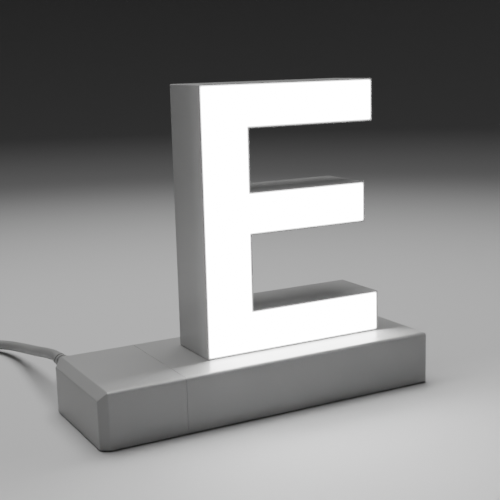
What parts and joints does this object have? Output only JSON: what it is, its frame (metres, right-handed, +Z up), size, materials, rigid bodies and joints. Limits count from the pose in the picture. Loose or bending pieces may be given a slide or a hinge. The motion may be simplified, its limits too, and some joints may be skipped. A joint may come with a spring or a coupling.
{
  "type": "light-up letter",
  "caption": "Lit block letter E with an opal face, plugged onto a low plinth with a chamfered power block, a mains cord, an in-line rocker switch and a flat plug.",
  "frame": {"origin": "middle of the plinth's footprint, on the table", "axes": "+X along the plinth towards its plain end, +Y from the lit face to the back, +Z up"},
  "size_m": [0.3819, 0.2486, 0.1814],
  "materials": {
    "letter_shell": "gloss",
    "opal_face": "emissive",
    "plinth_shell": "satin",
    "inner_plastic": "matte",
    "light_board": "satin",
    "driver_board": "satin",
    "led_chip": "matte",
    "led_lens": "clear",
    "steel_screw": "satin",
    "brass": "satin",
    "rubber_foot": "matte",
    "ferrite": "matte",
    "winding_tape": "satin",
    "capacitor_can": "satin",
    "black_package": "matte",
    "terminal_green": "satin",
    "red_insulation": "satin",
    "brown_insulation": "satin",
    "cord_sheath": "satin",
    "tie_strap": "woven",
    "switch_shell": "satin",
    "rocker": "gloss",
    "plug_shell": "satin",
    "pin_sleeve": "satin"
  },
  "bodies": {
    "plinth": {"base_housing": "plinth_shell", "base_floor": "inner_plastic", "base_screws": "steel_screw", "base_feet": "rubber_foot", "letter_socket": "inner_plastic", "letter_sleeves": "brass", "link_socket": "inner_plastic", "link_sleeves": "brass", "bus_bars": "brass"},
    "letter": {"letter_case": "letter_shell", "face_diffuser": "opal_face", "letter_back": "letter_shell", "back_screws": "steel_screw", "led_board": "light_board", "led_chips": "led_chip", "led_lenses": "led_lens", "board_screws": "steel_screw", "letter_wires": "red_insulation", "letter_plug": "inner_plastic", "letter_pins": "brass", "plug_screws": "steel_screw"},
    "power_block": {"end_housing": "plinth_shell", "end_floor": "inner_plastic", "end_screws": "steel_screw", "end_feet": "rubber_foot", "link_plug": "inner_plastic", "link_pins": "brass", "link_screws": "steel_screw", "driver_board": "driver_board", "driver_screws": "steel_screw", "transformer_core": "ferrite", "transformer_winding": "winding_tape", "capacitors": "capacitor_can", "rectifier": "black_package", "terminal_block": "terminal_green", "output_wires": "red_insulation", "cable_clamp": "inner_plastic", "clamp_screws": "steel_screw", "cord_tail": "cord_sheath", "cord_cores": "brown_insulation", "strain_relief": "cord_sheath", "cord_lead": "cord_sheath", "cord_coil": "cord_sheath", "coil_tie": "tie_strap", "switch_lower": "switch_shell", "switch_upper": "switch_shell", "rocker_pin": "steel_screw", "switch_contacts": "brass", "switch_screws": "steel_screw", "plug_body": "plug_shell", "plug_pins": "brass", "pin_sleeves": "pin_sleeve"},
    "rocker": {"switch_rocker": "rocker"}
  },
  "joints": [
    {"name": "letter_lift", "type": "slide", "parent": "plinth", "child": "letter", "axis": [0, 0, 1], "range_m": [0, 0.03]},
    {"name": "power_block_pull", "type": "slide", "parent": "plinth", "child": "power_block", "axis": [-1, 0, 0], "range_m": [0, 0.025]},
    {"name": "rocker_tilt", "type": "hinge", "parent": "power_block", "child": "rocker", "pos_m": [-0.1708, 0.199, 0.0126], "axis": [0, -1, 0], "range_deg": [0, 14]}
  ]
}
